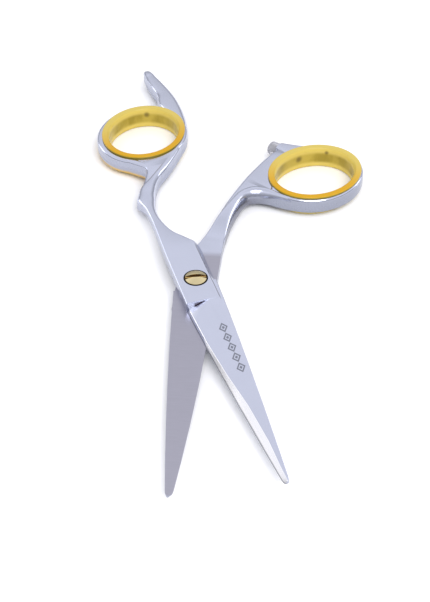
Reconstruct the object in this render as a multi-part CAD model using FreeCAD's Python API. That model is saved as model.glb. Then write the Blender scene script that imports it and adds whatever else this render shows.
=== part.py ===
"""Hair cutting shears: two crossed steel halves on a tension screw, with soft ring inserts.

Each half is drawn closed, in its own frame: the pivot is the origin and the blade points along -Y.
It is then turned about the pivot to its half-open rest place. The table is the plane z = 0.
"""
import FreeCAD, Part
import math
import os

Vector = FreeCAD.Vector
Z_AXIS = Vector(0, 0, 1)
TINY = 1e-3
CLEAR = 1.0                    # how far a cutter runs past the faces that it cuts
ROUNDING_TRIES = (1.0, 0.8, 0.6)

# ---- driving dimensions, millimetres and degrees ----
BLADE_LENGTH = 66.3            # pivot to blade tip
MATING_Z = 3.4                 # height of the plane where the two halves meet
HALF_GAP = 0.05                # air between the two flat faces
PLATFORM_TOP = 6.4             # top of the finger half around the screw
STEEL_BOTTOM = 1.2             # underside of both finger rings
STEEL_TOP = 5.8                # upper side of both finger rings
INSERT_TOP = 6.5               # upper side of the soft inserts, which stand on the table
EDGE_ROUND = 1.1               # rounding along the handles
ROUND_FROM_Y = 20.0            # it starts beyond the pivot's flat faces
FLANGE_ROUND = 0.5
FINGER_TURN = 17.35            # rest angle of the finger half
THUMB_TURN = -3.92             # rest angle of the thumb half

# ---- rings: the insert's flange is an ellipse with these half-axes ----
FLANGE_LONG = 14.6
FLANGE_SHORT = 12.5
FLANGE_OVERHANG = 1.2          # flange beyond the bore it sits in
INSERT_WALL = 0.95
STEEL_MARGIN = 0.6             # steel beyond the flange
LIP_INSET = 0.9                # the thumb insert's lower flange is smaller by this much
FINGER_RING = {"centre": (4.5, 71.0), "turn": 60.0}
THUMB_RING = {"centre": (30.5, 50.1), "turn": 46.5}
FINGER_STEEL = {"centre": (4.0, 70.7), "turn": 60.0}   # its steel is wider on the side away from the thumb
FINGER_STEEL_MARGIN = 1.1

# ---- blade ----
HEEL_Y = -8.7                  # where the blade's ground face steps down from the platform
EDGE_LAND = 0.12               # flat left at the very edge
# each blade's two long sides in plan, as drawn for an edge at -X: three points of an arc
FINGER_EDGE = [(-5.0, -4.0), (-2.95, -37.0), (-0.5, -65.3)]
FINGER_SPINE = [(5.2, -4.0), (3.35, -37.0), (1.05, -65.6)]
THUMB_EDGE = [(-5.0, -4.0), (-3.35, -37.0), (-0.65, -65.3)]
THUMB_SPINE = [(5.5, -4.0), (3.6, -37.0), (1.15, -65.6)]
# distance from the pivot, bevel width, bevel height, crown's share of the width, crown height, back height
BLADE_STATIONS = [
    (4.0, 0.3, 1.0, 0.55, 2.95, 2.95),
    (22.0, 0.35, 0.95, 0.62, 2.1, 2.6),
    (44.0, 0.75, 0.8, 0.68, 1.5, 1.9),
    (68.0, 0.85, 0.6, 0.72, 0.8, 0.8),
]
SPINE_CHAMFER = 1.5            # width of the sloped strip along the back
SPINE_SHARE = 0.2              # and at most this much of the blade's width
SPINE_HEIGHT_SHARE = 0.4       # height left under the sloped strip
TIP_X = 0.15
BEVEL_TOP_X = 3.7              # upper edge of the sloped strip beside the screw
BEVEL_LOW = 0.6                # its lower edge, above the mating face
BEVEL_RUN = (-20.0, 20.0)
HOLLOW_WIDTH = 6.0             # hollow of the inner face, where it starts
HOLLOW_DEPTH = 0.12
HOLLOW_END_DEPTH = 0.01
HOLLOW_X = 0.3
HOLLOW_START = 14.0            # distance from the pivot
HOLLOW_LENGTH = 46.0

# ---- handle outlines, each half in its own frame ----
FINGER_LEFT = [(-5.0, HEEL_Y), (-4.9, 8.0), (-4.5, 26.0), (-5.0, 36.5)]
FINGER_NECK_LEFT = [(-5.0, 36.5), (-3.9, 42.0), (-1.4, 47.5), (0.6, 52.4)]
FINGER_TANG_LEFT = [(13.2, 86.4), (14.3, 90.0), (13.6, 98.0), (13.7, 108.2)]
FINGER_RIGHT = [(16.3, 108.2), (19.0, 95.7), (19.9, 84.0), (18.3, 70.8), (14.1, 61.5),
                (7.5, 52.8), (1.8, 45.6), (-0.9, 37.0), (-2.0, 28.5), (0.6, 19.8), (5.4, 14.8)]
THUMB_LEFT = [(-5.4, HEEL_Y), (-4.7, 6.0), (-0.2, 19.0), (5.5, 33.8),
              (10.6, 46.2), (15.4, 55.5), (18.5, 60.4)]
THUMB_RIGHT = [(19.3, 38.0), (14.6, 39.1), (11.0, 37.2), (8.2, 29.4),
               (6.0, 19.2), (5.4, 8.0), (5.0, HEEL_Y)]

PLATFORM_CORNER = (5.15, HEEL_Y)
FINGER_RING_SPAN = (185.0, 8.0)      # where the ring's ellipse leaves the neck and meets the rest
THUMB_RING_SPAN = (215.0, 52.0)

# upright corners rounded in plan: from y, to y, radius
FINGER_CORNERS = [(107.0, 109.0, 1.2), (86.0, 87.0, 1.5), (51.0, 53.0, 1.2)]
THUMB_CORNERS = [(60.0, 61.0, 1.2)]

# ---- handle side views: (y, z) corners, running past the far end of both handles ----
FAR_Y = 120.0
FINGER_FACE_Z = MATING_Z + HALF_GAP
FINGER_SIDE = [(HEEL_Y, FINGER_FACE_Z), (34.5, FINGER_FACE_Z), (37.5, STEEL_BOTTOM), (FAR_Y, STEEL_BOTTOM),
               (FAR_Y, STEEL_TOP), (38.0, STEEL_TOP), (16.0, PLATFORM_TOP), (HEEL_Y, PLATFORM_TOP)]
THUMB_SIDE = [(HEEL_Y, 0.0), (20.0, 0.0), (34.0, STEEL_BOTTOM), (FAR_Y, STEEL_BOTTOM), (FAR_Y, STEEL_TOP),
              (28.0, STEEL_TOP), (21.5, MATING_Z), (HEEL_Y, MATING_Z)]
SIDE_REACH = 80.0              # half the width of the prism that trims a handle

# ---- bumper arm on the thumb half ----
BUMPER_CENTRE = (18.5, 64.9)
BUMPER_ANGLE = -32.0           # from the bumper back into the arm
BUMPER_LENGTH = 3.4
BUMPER_DIAMETER = 4.3
ARM_HALF_WIDTH = 2.0
ARM_BACK = (26.1, 64.4)
STUD_DIAMETER = 1.6
STUD_IN_BUMPER = 2.4
STUD_IN_ARM = 3.2
STUD_THROUGH = 12.0            # the drilled hole runs on into the ring
BUMPER_ROUND = 1.2

# ---- pivot ----
HEAD_DIAMETER = 5.6
HEAD_BOTTOM = 5.35
HEAD_TOP = 7.2
HEAD_CROWN = 0.7               # height of the domed part
SLOT_WIDTH = 1.1
SLOT_DEPTH = 1.0
SLOT_TURN = 6.0
COUNTERBORE_DIAMETER = 6.2
COUNTERBORE_FLOOR = 5.0
WASHER_INNER = 3.7
WASHER_OUTER = 5.4
WASHER_THICKNESS = 0.3
WASHER_GAP = 0.02              # air under the screw's head
JOURNAL_DIAMETER = 3.4
THREAD_DIAMETER = 3.0
THREAD_END = 0.0               # the screw's tip is flush with the underside
BUSH_DIAMETER = 4.8
RUNNING_CLEARANCE = 0.03


def v(point, z=0.0):
    """A plan point as a vector."""
    return Vector(point[0], point[1], z)


def spline(points, start_way=None, end_way=None):
    """One smooth edge through plan points; where one end is told which way to run, both are held."""
    places = [v(p) for p in points]
    curve = Part.BSplineCurve()
    if start_way or end_way:
        start = v(start_way) if start_way else places[1] - places[0]
        end = v(end_way) if end_way else places[-1] - places[-2]
        curve.interpolate(Points=places, InitialTangent=start.normalize(), FinalTangent=end.normalize())
    else:
        curve.interpolate(places)
    return curve.toShape()


def line(start, end):
    return Part.makeLine(v(start), v(end))


def arc(start, middle, end):
    return Part.Arc(v(start), v(middle), v(end)).toShape()


def extrude_outline(edges, bottom, top):
    """A prism on a closed plan outline."""
    face = Part.Face(Part.Wire(Part.__sortEdges__(edges)))
    face.translate(Vector(0, 0, bottom))
    return face.extrude(Vector(0, 0, top - bottom))


def side_profile(points):
    """A wide prism along X on a (y, z) polygon: it trims a handle to its side view."""
    corners = [Vector(-SIDE_REACH, y, z) for y, z in points]
    face = Part.Face(Part.makePolygon(corners + corners[:1]))
    return face.extrude(Vector(2 * SIDE_REACH, 0, 0))


def ring_ellipse(ring, shrink):
    """The flange ellipse of a ring, made smaller all round by a distance."""
    turn = math.radians(ring["turn"])
    centre = v(ring["centre"])
    along = Vector(math.cos(turn), math.sin(turn), 0)
    across = Vector(-math.sin(turn), math.cos(turn), 0)
    long_end = centre + along * (FLANGE_LONG - shrink)
    short_end = centre + across * (FLANGE_SHORT - shrink)
    return Part.Ellipse(long_end, short_end, centre)


def ellipse_point(ellipse, degrees):
    point = ellipse.value(math.radians(degrees))
    return (point.x, point.y)


def ellipse_way(ellipse, degrees):
    """The clockwise direction along an ellipse."""
    way = ellipse.tangent(math.radians(degrees))[0]
    return (-way.x, -way.y)


def ellipse_prism(ring, shrink, bottom, top):
    return extrude_outline([ring_ellipse(ring, shrink).toShape()], bottom, top)


def cylinder(diameter, bottom, top):
    return Part.makeCylinder(diameter / 2, top - bottom, Vector(0, 0, bottom))


def round_edges(shape, radius, wanted):
    """Fillet the edges that a test picks; the radius steps down where the full one can't be rolled."""
    edges = [edge for edge in shape.Edges if wanted(edge)]
    for share in ROUNDING_TRIES:
        try:
            rounded = shape.makeFillet(share * radius, edges)
        except Part.OCCError:
            continue
        if rounded.isValid() and rounded.Volume > 0:
            return rounded
    raise RuntimeError("edges could not be rounded")


def runs_at(heights, start_y):
    """Pick the outline edges lying at one of some heights, from a given y on, but not straight across."""
    def wanted(edge):
        box = edge.BoundBox
        level = any(abs(box.ZMin - z) < TINY and abs(box.ZMax - z) < TINY for z in heights)
        return level and box.YMin > start_y and box.YLength > TINY
    return wanted


def upright_between(low_y, high_y):
    """Pick the upright edges at the plan corners between two values of y."""
    def wanted(edge):
        box = edge.BoundBox
        return box.XLength < TINY and box.YLength < TINY and low_y < box.YMin < high_y
    return wanted


def blade(edge_arc, spine_arc):
    """A tapering blade above its flat inner face at z = 0, edge at -X, clipped to its rounded outline.

    Each cross-section rises from the edge by a narrow bevel, then by the wide ground face to a crown,
    runs level to the back and falls away down a sloping strip.
    """
    edge_curve = Part.Arc(*[v(p) for p in edge_arc])
    spine_curve = Part.Arc(*[v(p) for p in spine_arc])
    sections = []
    for distance, bevel_width, bevel_height, crown_place, crown_height, back_height in BLADE_STATIONS:
        edge_x = x_at(edge_curve, -distance)
        spine_x = x_at(spine_curve, -distance)
        width = spine_x - edge_x
        chamfer = min(SPINE_CHAMFER, SPINE_SHARE * width)
        corners = [(edge_x, 0), (edge_x, EDGE_LAND), (edge_x + bevel_width, bevel_height),
                   (edge_x + crown_place * width, crown_height), (spine_x - chamfer, back_height),
                   (spine_x, back_height * SPINE_HEIGHT_SHARE), (spine_x, 0)]
        points = [Vector(x, -distance, z) for x, z in corners]
        sections.append(Part.makePolygon(points + points[:1]))
    body = Part.makeLoft(sections, True, False)
    tip = (TIP_X, -BLADE_LENGTH)
    outline = [arc(*edge_arc), arc(edge_arc[-1], tip, spine_arc[-1]),
               arc(*spine_arc), line(spine_arc[0], edge_arc[0])]
    body = body.common(extrude_outline(outline, -CLEAR, PLATFORM_TOP))
    return body.cut(blade_hollow())


def x_at(curve, y):
    """The x of a plan curve at a height y; past its end the last point holds."""
    hits = curve.intersect(Part.LineSegment(Vector(-SIDE_REACH, y, 0), Vector(SIDE_REACH, y, 0)))
    if hits:
        return hits[0].X
    return curve.value(curve.LastParameter).x


def blade_hollow():
    """The shallow hollow of the inner face: a long cylinder that grazes it and runs out near the tip."""
    radius = (HOLLOW_WIDTH / 2) ** 2 / (2 * HOLLOW_DEPTH)
    start = Vector(HOLLOW_X, -HOLLOW_START, HOLLOW_DEPTH - radius)
    sink = Vector(0, -HOLLOW_LENGTH, HOLLOW_END_DEPTH - HOLLOW_DEPTH)
    return Part.makeCylinder(radius, sink.Length, start, sink)


def finger_outline():
    """Shank, neck, ring and finger rest of the finger half, from the heel round by the ring."""
    ring = ring_ellipse(FINGER_STEEL, -FINGER_STEEL_MARGIN)
    low = ellipse_point(ring, FINGER_RING_SPAN[0])
    high = ellipse_point(ring, FINGER_RING_SPAN[1])
    return [
        spline(FINGER_LEFT),
        spline(FINGER_NECK_LEFT),
        line(FINGER_NECK_LEFT[-1], low),
        ring.toShape(math.radians(FINGER_RING_SPAN[1]), math.radians(FINGER_RING_SPAN[0])),
        line(high, FINGER_TANG_LEFT[0]),
        spline(FINGER_TANG_LEFT),
        line(FINGER_TANG_LEFT[-1], FINGER_RIGHT[0]),
        spline(FINGER_RIGHT),
        line(FINGER_RIGHT[-1], PLATFORM_CORNER),
        line(PLATFORM_CORNER, FINGER_LEFT[0]),
    ]


def arm_point(back, sideways):
    """A plan point on the bumper arm, measured back from the bumper's centre along the arm."""
    angle = math.radians(BUMPER_ANGLE)
    x = BUMPER_CENTRE[0] + back * math.cos(angle) - sideways * math.sin(angle)
    y = BUMPER_CENTRE[1] + back * math.sin(angle) + sideways * math.cos(angle)
    return (x, y)


def thumb_outline():
    """Shank, ring and bumper arm of the thumb half."""
    ring = ring_ellipse(THUMB_RING, -STEEL_MARGIN)
    low = ellipse_point(ring, THUMB_RING_SPAN[0])
    high = ellipse_point(ring, THUMB_RING_SPAN[1])
    arm_low = arm_point(BUMPER_LENGTH / 2, -ARM_HALF_WIDTH)
    arm_high = arm_point(BUMPER_LENGTH / 2, ARM_HALF_WIDTH)
    return [
        line(THUMB_RIGHT[-1], THUMB_LEFT[0]),
        spline(THUMB_LEFT),
        line(THUMB_LEFT[-1], arm_low),
        line(arm_low, arm_high),
        spline([arm_high, ARM_BACK, high], None, ellipse_way(ring, THUMB_RING_SPAN[1])),
        ring.toShape(math.radians(THUMB_RING_SPAN[0] - 360), math.radians(THUMB_RING_SPAN[1])),
        spline([low] + THUMB_RIGHT, ellipse_way(ring, THUMB_RING_SPAN[0])),
    ]


def handle(outline, corners, side, ring):
    """A handle: its plan outline trimmed to its side view, rounded along, with the ring's bore."""
    body = extrude_outline(outline, 0.0, PLATFORM_TOP)
    for low_y, high_y, radius in corners:
        body = round_edges(body, radius, upright_between(low_y, high_y))
    body = body.common(side_profile(side))
    body = round_edges(body, EDGE_ROUND, runs_at((STEEL_TOP, STEEL_BOTTOM), ROUND_FROM_Y))
    return body.cut(ellipse_prism(ring, FLANGE_OVERHANG, -CLEAR, PLATFORM_TOP + CLEAR))


def finger_half():
    body = handle(finger_outline(), FINGER_CORNERS, FINGER_SIDE, FINGER_RING)
    ground = blade(FINGER_EDGE, FINGER_SPINE)
    ground.translate(Vector(0, 0, FINGER_FACE_Z))
    body = body.fuse(ground)
    body = body.cut(cylinder(COUNTERBORE_DIAMETER, COUNTERBORE_FLOOR, PLATFORM_TOP + CLEAR))
    body = body.cut(cylinder(BUSH_DIAMETER, 0.0, COUNTERBORE_FLOOR + CLEAR))
    return body.cut(platform_bevel()).removeSplitter()


def platform_bevel():
    """The sloping strip along the right of the platform, which runs on into the blade's back."""
    low = FINGER_FACE_Z + BEVEL_LOW
    high = PLATFORM_TOP + CLEAR
    edge_x = PLATFORM_CORNER[0]
    corners = [(edge_x + CLEAR, low), (edge_x + CLEAR, high), (BEVEL_TOP_X, high),
               (BEVEL_TOP_X, PLATFORM_TOP), (edge_x, low)]
    start, end = BEVEL_RUN
    points = [Vector(x, start, z) for x, z in corners]
    face = Part.Face(Part.makePolygon(points + points[:1]))
    return face.extrude(Vector(0, end - start, 0))


def thumb_half():
    body = handle(thumb_outline(), THUMB_CORNERS, THUMB_SIDE, THUMB_RING)
    ground = blade(THUMB_EDGE, THUMB_SPINE)
    ground.rotate(Vector(0, 0, 0), Vector(0, 1, 0), 180)
    ground.translate(Vector(0, 0, MATING_Z))
    body = body.fuse(ground)
    body = body.cut(cylinder(THREAD_DIAMETER, -CLEAR, MATING_Z + CLEAR))
    body = body.cut(stud_prism(STUD_DIAMETER, BUMPER_LENGTH / 2 - CLEAR, STUD_THROUGH))
    return body.removeSplitter()


def ring_insert(ring, lower_inset):
    """A soft insert: a wall through the bore and a rounded flange on each side of the steel."""
    wall = ellipse_prism(ring, FLANGE_OVERHANG, STEEL_BOTTOM, STEEL_TOP)
    upper = flange(ring, 0.0, STEEL_TOP, INSERT_TOP)
    lower = flange(ring, lower_inset, 0.0, STEEL_BOTTOM)
    body = wall.fuse([upper, lower])
    opening = ellipse_prism(ring, FLANGE_OVERHANG + INSERT_WALL, -CLEAR, INSERT_TOP + CLEAR)
    return body.cut(opening).removeSplitter()


def flange(ring, inset, bottom, top):
    body = ellipse_prism(ring, inset, bottom, top)
    return round_edges(body, FLANGE_ROUND, lambda edge: edge.Length > STEEL_TOP)


def stud_prism(diameter, start, length):
    """A cylinder along the bumper's axis; start is measured back from the bumper's centre."""
    x, y = arm_point(start, 0.0)
    angle = math.radians(BUMPER_ANGLE)
    centre = Vector(x, y, (STEEL_BOTTOM + STEEL_TOP) / 2)
    return Part.makeCylinder(diameter / 2, length, centre, Vector(math.cos(angle), math.sin(angle), 0))


def bumper():
    """A soft round buffer that the finger ring closes against."""
    body = stud_prism(BUMPER_DIAMETER, -BUMPER_LENGTH / 2, BUMPER_LENGTH)
    body = round_edges(body, BUMPER_ROUND, lambda edge: edge.CenterOfMass.x < arm_point(0.0, 0.0)[0])
    return body.cut(bumper_stud())


def bumper_stud():
    return stud_prism(STUD_DIAMETER, BUMPER_LENGTH / 2 - STUD_IN_BUMPER, STUD_IN_BUMPER + STUD_IN_ARM)


def pivot_screw():
    """Slotted, domed head, journal through the bush, and the thread drawn as a plain cylinder."""
    head = cylinder(HEAD_DIAMETER, HEAD_BOTTOM, HEAD_TOP - HEAD_CROWN)
    crown_radius = ((HEAD_DIAMETER / 2) ** 2 + HEAD_CROWN ** 2) / (2 * HEAD_CROWN)
    ball = Part.makeSphere(crown_radius, Vector(0, 0, HEAD_TOP - crown_radius))
    crown = cylinder(HEAD_DIAMETER, HEAD_TOP - HEAD_CROWN, HEAD_TOP + CLEAR).common(ball)
    journal = cylinder(JOURNAL_DIAMETER, FINGER_FACE_Z, HEAD_BOTTOM)
    thread = cylinder(THREAD_DIAMETER - 2 * RUNNING_CLEARANCE, THREAD_END, FINGER_FACE_Z)
    slot_corner = Vector(-HEAD_DIAMETER / 2 - CLEAR, -SLOT_WIDTH / 2, HEAD_TOP - SLOT_DEPTH)
    slot = Part.makeBox(HEAD_DIAMETER + 2 * CLEAR, SLOT_WIDTH, SLOT_DEPTH + CLEAR, slot_corner)
    slot.rotate(Vector(0, 0, 0), Z_AXIS, SLOT_TURN)
    return head.fuse([crown, journal, thread]).removeSplitter().cut(slot)


def spring_washer():
    top = HEAD_BOTTOM - WASHER_GAP
    body = cylinder(WASHER_OUTER, top - WASHER_THICKNESS, top)
    return body.cut(cylinder(WASHER_INNER, 0.0, PLATFORM_TOP))


def pivot_bush():
    bore = JOURNAL_DIAMETER + 2 * RUNNING_CLEARANCE
    body = cylinder(BUSH_DIAMETER, FINGER_FACE_Z, COUNTERBORE_FLOOR)
    return body.cut(cylinder(bore, 0.0, PLATFORM_TOP))


def export(name, shape, turn):
    """Turn a piece about the pivot to its rest place and write it."""
    if not shape.isValid():
        raise RuntimeError(name + " is not a valid solid")
    solids = shape.Solids
    if len(solids) != 1:
        raise RuntimeError(name + " is not one solid")
    piece = solids[0]
    piece.rotate(Vector(0, 0, 0), Z_AXIS, turn)
    piece.exportStep("parts/" + name + ".step")


def main():
    os.makedirs("parts", exist_ok=True)
    pieces = [
        ("finger_half", finger_half(), FINGER_TURN),
        ("finger_ring_insert", ring_insert(FINGER_RING, 0.0), FINGER_TURN),
        ("pivot_bush", pivot_bush(), FINGER_TURN),
        ("spring_washer", spring_washer(), FINGER_TURN),
        ("pivot_screw", pivot_screw(), 0.0),
        ("thumb_half", thumb_half(), THUMB_TURN),
        ("thumb_ring_insert", ring_insert(THUMB_RING, LIP_INSET), THUMB_TURN),
        ("bumper", bumper(), THUMB_TURN),
        ("bumper_stud", bumper_stud(), THUMB_TURN),
    ]
    for name, shape, turn in pieces:
        export(name, shape, turn)


main()
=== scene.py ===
"""Hair cutting shears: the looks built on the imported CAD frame.

Laid out as a Blender add-on and run as a script. Sizes are worked out in millimetres, each half in its own
frame: the pivot is the origin, the blade points along -Y and the half is then turned to its rest place.
"""
import math

import bpy
import numpy as np
from bpy.props import FloatProperty, FloatVectorProperty, PointerProperty
from bpy.types import Operator, Panel, PropertyGroup
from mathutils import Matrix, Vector


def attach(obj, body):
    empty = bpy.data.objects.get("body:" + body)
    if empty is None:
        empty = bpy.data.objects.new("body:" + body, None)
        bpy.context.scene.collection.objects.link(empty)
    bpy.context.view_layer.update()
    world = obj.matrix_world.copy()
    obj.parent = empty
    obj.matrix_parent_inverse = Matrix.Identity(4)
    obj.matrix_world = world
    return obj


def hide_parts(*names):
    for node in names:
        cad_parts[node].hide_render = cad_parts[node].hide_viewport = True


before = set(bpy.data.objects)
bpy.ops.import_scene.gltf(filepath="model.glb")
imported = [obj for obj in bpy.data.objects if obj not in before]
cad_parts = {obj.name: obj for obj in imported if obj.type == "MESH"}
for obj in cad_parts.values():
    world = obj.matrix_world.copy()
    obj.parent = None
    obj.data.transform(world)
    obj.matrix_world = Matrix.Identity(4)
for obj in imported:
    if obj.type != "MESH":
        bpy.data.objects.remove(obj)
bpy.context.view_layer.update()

bl_info = {
    "name": "Hair Cutting Shears",
    "version": (1, 0, 0),
    "blender": (4, 5, 0),
    "location": "View3D > Sidebar > Shears",
    "description": "Builds the visible pieces of a pair of hair cutting shears",
    "category": "Add Mesh",
}

MM = 0.001
FULL_TURN = 2 * math.pi
FINGER_TURN = math.radians(17.35)      # rest angles of the two halves about the pivot
THUMB_TURN = math.radians(-3.92)
MATING = 3.4                           # height of the plane where the halves meet
GAP = 0.05
ROUND_STEPS = 7                        # points along each rounded corner
ROUND_REACH = 0.49                     # share of a side that one corner may take
LOFT_ROWS = 160
RING_ROWS = 220
SHARP_ANGLE = math.radians(32)


# ---- shader maths ----

class Value:
    """A node socket that carries a number, a vector or a colour; arithmetic on it adds Math nodes."""

    def __init__(self, finish, socket):
        self.finish = finish
        self.socket = socket

    def math(self, operation, *others):
        """A Math node on this value and others."""
        return self.finish.add("ShaderNodeMath", {"operation": operation}, [self, *others])

    def __add__(self, other):
        return self.math("ADD", other)

    __radd__ = __add__

    def __mul__(self, other):
        return self.math("MULTIPLY", other)

    __rmul__ = __mul__

    def __sub__(self, other):
        return self.math("SUBTRACT", other)

    def __rsub__(self, other):
        return self.finish.add("ShaderNodeMath", {"operation": "SUBTRACT"}, [other, self])

    def step(self, low, high):
        """0 below low, 1 above high, and a smooth ramp between them."""
        settings = {"interpolation_type": "SMOOTHSTEP"}
        inputs = {"Value": self, "From Min": low, "From Max": high}
        return self.finish.add("ShaderNodeMapRange", settings, inputs)

    def band(self, low, high, soft):
        """1 between low and high, falling smoothly to 0 over a soft width on each side."""
        return self.step(low - soft, low) * (1 - self.step(high, high + soft))


class Finish:
    """A material under construction: its node tree, its shader and the patterns that feed it."""

    def __init__(self, name, **constants):
        self.material = bpy.data.materials.new(name)
        self.material.use_nodes = True
        self.tree = self.material.node_tree
        self.shader = self.tree.nodes["Principled BSDF"]
        for socket, value in constants.items():
            self.shader.inputs[socket.replace("_", " ")].default_value = value

    def add(self, kind, settings, inputs, output=0):
        """One node of a kind: its settings first, then its inputs by name or in order, and an output."""
        node = self.tree.nodes.new(kind)
        for name, value in settings.items():
            setattr(node, name, value)
        pairs = inputs.items() if isinstance(inputs, dict) else enumerate(inputs)
        for key, value in pairs:
            if isinstance(value, Value):
                self.tree.links.new(value.socket, node.inputs[key])
            else:
                node.inputs[key].default_value = value
        return Value(self, node.outputs[output])

    def places(self, turn=0.0):
        """Object coordinates in millimetres, turned into a half's own frame."""
        where = self.add("ShaderNodeTexCoord", {}, {}, "Object")
        inputs = {"Vector": where, "Rotation": (0, 0, -turn), "Scale": (1 / MM, 1 / MM, 1 / MM)}
        return self.add("ShaderNodeMapping", {"vector_type": "POINT"}, inputs)

    def stretched(self, vector, scale):
        """A vector with each part multiplied."""
        return self.add("ShaderNodeVectorMath", {"operation": "MULTIPLY"}, [vector, scale])

    def axes(self, vector):
        """The three parts of a vector."""
        node = self.add("ShaderNodeSeparateXYZ", {}, [vector]).socket.node
        return tuple(Value(self, socket) for socket in node.outputs)

    def attribute(self, name):
        """A number stored on the mesh."""
        return self.add("ShaderNodeAttribute", {"attribute_name": name}, {}, "Fac")

    def noise(self, vector, scale, detail=3.0):
        """A soft random pattern from 0 to 1."""
        inputs = {"Vector": vector, "Scale": scale, "Detail": detail}
        return self.add("ShaderNodeTexNoise", {}, inputs, "Fac")

    def mix(self, factor, first, second):
        """A colour between two colours."""
        return self.add("ShaderNodeMix", {"data_type": "RGBA"}, {0: factor, 6: first, 7: second}, 2)

    def feed(self, socket, value):
        """Join a value to one of the shader's sockets."""
        self.tree.links.new(value.socket, self.shader.inputs[socket])

    def bump(self, height, strength, distance):
        """Shade the surface as if raised by a height."""
        inputs = {"Height": height, "Strength": strength, "Distance": distance}
        self.feed("Normal", self.add("ShaderNodeBump", {}, inputs))


def rgb(colour, shade=1.0):
    """A colour property as a node's colour value, made lighter or darker."""
    return tuple(shade * part for part in colour) + (1.0,)


# ---- meshes ----

def mesh_piece(name, points, faces):
    """A new smooth-shaded object at the origin, from rows of points and of face corners."""
    mesh = bpy.data.meshes.new(name)
    mesh.from_pydata(points.tolist(), [], faces)
    mesh.shade_smooth()
    piece = bpy.data.objects.new(name, mesh)
    bpy.context.scene.collection.objects.link(piece)
    return piece


def grid_faces(rows, columns, closed_rows):
    """Quads of a grid whose rows are loops, and whose rows may also run on from the last to the first."""
    row = np.arange(rows if closed_rows else rows - 1)[:, None]
    column = np.arange(columns)[None, :]
    next_row = (row + 1) % rows
    next_column = (column + 1) % columns
    corners = [row * columns + column, row * columns + next_column,
               next_row * columns + next_column, next_row * columns + column]
    return np.stack(np.broadcast_arrays(*corners), axis=-1).reshape(-1, 4).tolist()


def loops_piece(name, points, closed_rows=False):
    """A closed mesh from a (rows, columns, 3) grid; open ends are closed by one flat face each."""
    rows, columns = points.shape[:2]
    faces = grid_faces(rows, columns, closed_rows)
    if not closed_rows:
        faces.append(list(range(columns))[::-1])
        faces.append(list(range((rows - 1) * columns, rows * columns)))
    return mesh_piece(name, points.reshape(-1, 3), faces)


def outwards(piece):
    """Turn a closed piece's faces outwards: the sum of each face's corner triple products is its volume."""
    mesh = piece.data
    mesh.calc_loop_triangles()
    places = [mesh.vertices[i].co for t in mesh.loop_triangles for i in t.vertices]
    corners = np.array(places).reshape(-1, 3, 3)
    volume = np.einsum("ij,ij->", corners[:, 0], np.cross(corners[:, 1], corners[:, 2]))
    if volume < 0:
        mesh.flip_normals()
    return piece


def merged(piece, others, operation):
    """Join or cut a piece with others by exact Booleans; the others are used up."""
    for other in others:
        step = piece.modifiers.new("join", "BOOLEAN")
        step.operation = operation
        step.solver = "EXACT"
        step.object = other
    bpy.context.view_layer.update()
    shown = piece.evaluated_get(bpy.context.evaluated_depsgraph_get())
    mesh = bpy.data.meshes.new_from_object(shown)
    piece.modifiers.clear()
    piece.data = mesh
    for other in others:
        bpy.data.objects.remove(other)
    return piece


def finished(piece, material, body, slot, *nodes):
    """Give a piece its material and sharp edges, and tell the frame its body and replaced nodes; the slot is
    not used.
    """
    mesh = piece.data
    mesh.materials.clear()
    mesh.materials.append(material)
    mesh.shade_smooth()
    mesh.set_sharp_from_angle(angle=SHARP_ANGLE)
    mark_upward(mesh)
    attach(piece, body)
    if nodes:
        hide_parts(*nodes)
    return piece


def mark_upward(mesh):
    """An attribute on every corner: the upward part of its normal."""
    normals = np.empty(len(mesh.loops) * 3, dtype=np.float32)
    mesh.corner_normals.foreach_get("vector", normals)
    marks = mesh.attributes.new("upward", "FLOAT", "CORNER")
    marks.data.foreach_set("value", np.ascontiguousarray(normals[2::3]))


def placed(points, turn):
    """Points in millimetres in a half's own frame, turned about the pivot to rest, in metres."""
    x, y, z = np.moveaxis(points, -1, 0)
    cos, sin = math.cos(turn), math.sin(turn)
    return MM * np.stack([x * cos - y * sin, x * sin + y * cos, z], axis=-1)


def smooth_through(rows, count):
    """A smooth curve through rows of numbers, resampled to a count of rows.

    Each stretch is the cubic whose slope at a row is that of its neighbours, measured along the running
    length of the line midway between the left and the right side.
    """
    rows = np.asarray(rows, float)
    middle = (rows[:, 0:2] + rows[:, 2:4]) / 2
    along = np.concatenate([[0], np.cumsum(np.linalg.norm(np.diff(middle, axis=0), axis=1))])
    slopes = np.gradient(rows, along, axis=0)
    at = np.linspace(0, along[-1], count)
    stretch = np.clip(np.searchsorted(along, at, side="right") - 1, 0, len(along) - 2)
    length = (along[stretch + 1] - along[stretch])[:, None]
    t = (at - along[stretch])[:, None] / length
    start = rows[stretch] * (2 * t ** 3 - 3 * t ** 2 + 1)
    start += slopes[stretch] * length * (t ** 3 - 2 * t ** 2 + t)
    end = rows[stretch + 1] * (3 * t ** 2 - 2 * t ** 3)
    end += slopes[stretch + 1] * length * (t ** 3 - t ** 2)
    return start + end


def rounded(corners, radii):
    """Sections with curved corners: each becomes a parabola that starts and ends one radius from it."""
    before = np.roll(corners, 1, axis=1) - corners
    after = np.roll(corners, -1, axis=1) - corners
    before_length = np.linalg.norm(before, axis=2, keepdims=True)
    after_length = np.linalg.norm(after, axis=2, keepdims=True)
    reach = np.minimum(radii[..., None], ROUND_REACH * np.minimum(before_length, after_length))
    first = (corners + before / before_length * reach)[:, :, None]
    last = (corners + after / after_length * reach)[:, :, None]
    t = np.linspace(0, 1, ROUND_STEPS)[None, None, :, None]
    curve = (1 - t) ** 2 * first + 2 * t * (1 - t) * corners[:, :, None] + t ** 2 * last
    return curve.reshape(len(corners), -1, 2)


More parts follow.
